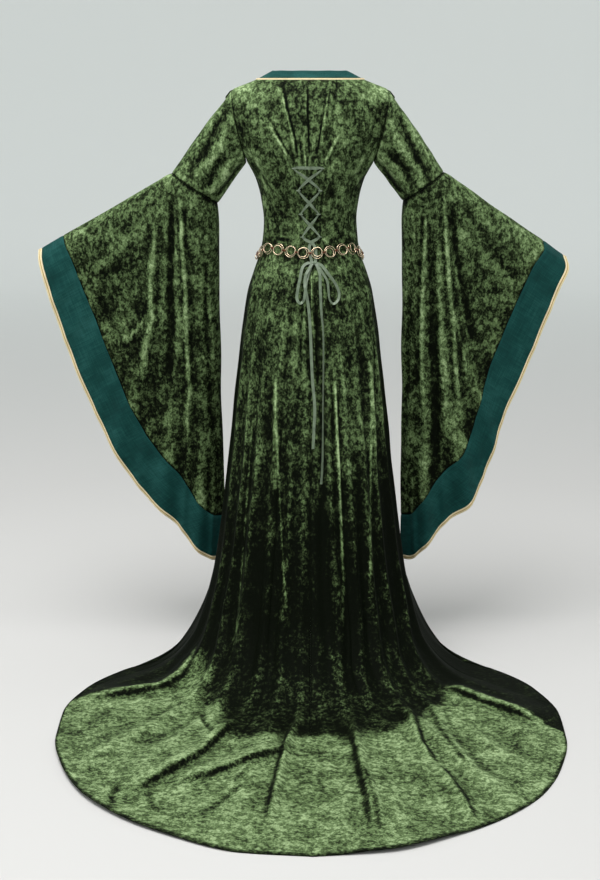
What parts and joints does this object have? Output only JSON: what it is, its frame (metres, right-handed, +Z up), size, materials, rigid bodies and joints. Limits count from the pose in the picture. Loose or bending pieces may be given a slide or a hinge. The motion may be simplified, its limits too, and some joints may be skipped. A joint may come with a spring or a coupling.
{
  "type": "medieval costume dress",
  "caption": "Floor-length medieval costume dress in crushed velvet with bell sleeves, a laced back with a bow, a ring belt and a rounded train, as worn and standing open.",
  "frame": {"origin": "on the body's upright middle line, level with the shoulder points where the wearer holds the dress up", "axes": "+Z up, -Y towards the front of the dress, +Y towards the laced back and the train, +X towards the wearer's left"},
  "size_m": [1.3765, 1.4752, 1.516],
  "materials": {
    "velvet": "crushed velvet",
    "teal": "plain matte weave",
    "cream": "woven trim",
    "lace": "satin ribbon",
    "brass": "polished wire"
  },
  "bodies": {
    "root": {"back_side_left": "velvet", "back_centre_left": "velvet", "back_side_right": "velvet", "back_centre_right": "velvet", "front": "velvet", "upper_sleeve_left": "velvet", "bell_sleeve_left": "velvet", "sleeve_border_left": "teal", "sleeve_binding_left": "cream", "upper_sleeve_right": "velvet", "bell_sleeve_right": "velvet", "sleeve_border_right": "teal", "sleeve_binding_right": "cream", "neck_band": "teal", "neck_piping": "cream", "lace_loop_1_left": "lace", "lace_loop_1_right": "lace", "lace_loop_2_left": "lace", "lace_loop_2_right": "lace", "lace_loop_3_left": "lace", "lace_loop_3_right": "lace", "lace_loop_4_left": "lace", "lace_loop_4_right": "lace", "lacing": "lace", "bow_knot": "lace", "bow_loop_left": "lace", "lace_end_left": "lace", "bow_loop_right": "lace", "lace_end_right": "lace", "belt_ring_01": "brass", "belt_ring_02": "brass", "belt_ring_03": "brass", "belt_ring_04": "brass", "belt_ring_05": "brass", "belt_ring_06": "brass", "belt_ring_07": "brass", "belt_ring_08": "brass", "belt_ring_09": "brass", "belt_ring_10": "brass", "belt_ring_11": "brass", "belt_ring_12": "brass", "belt_ring_13": "brass", "belt_ring_14": "brass", "belt_ring_15": "brass", "belt_ring_16": "brass", "belt_ring_17": "brass", "belt_ring_18": "brass", "belt_ring_19": "brass", "belt_ring_20": "brass", "belt_ring_21": "brass", "belt_ring_22": "brass", "belt_clasp": "brass"}
  },
  "joints": []
}
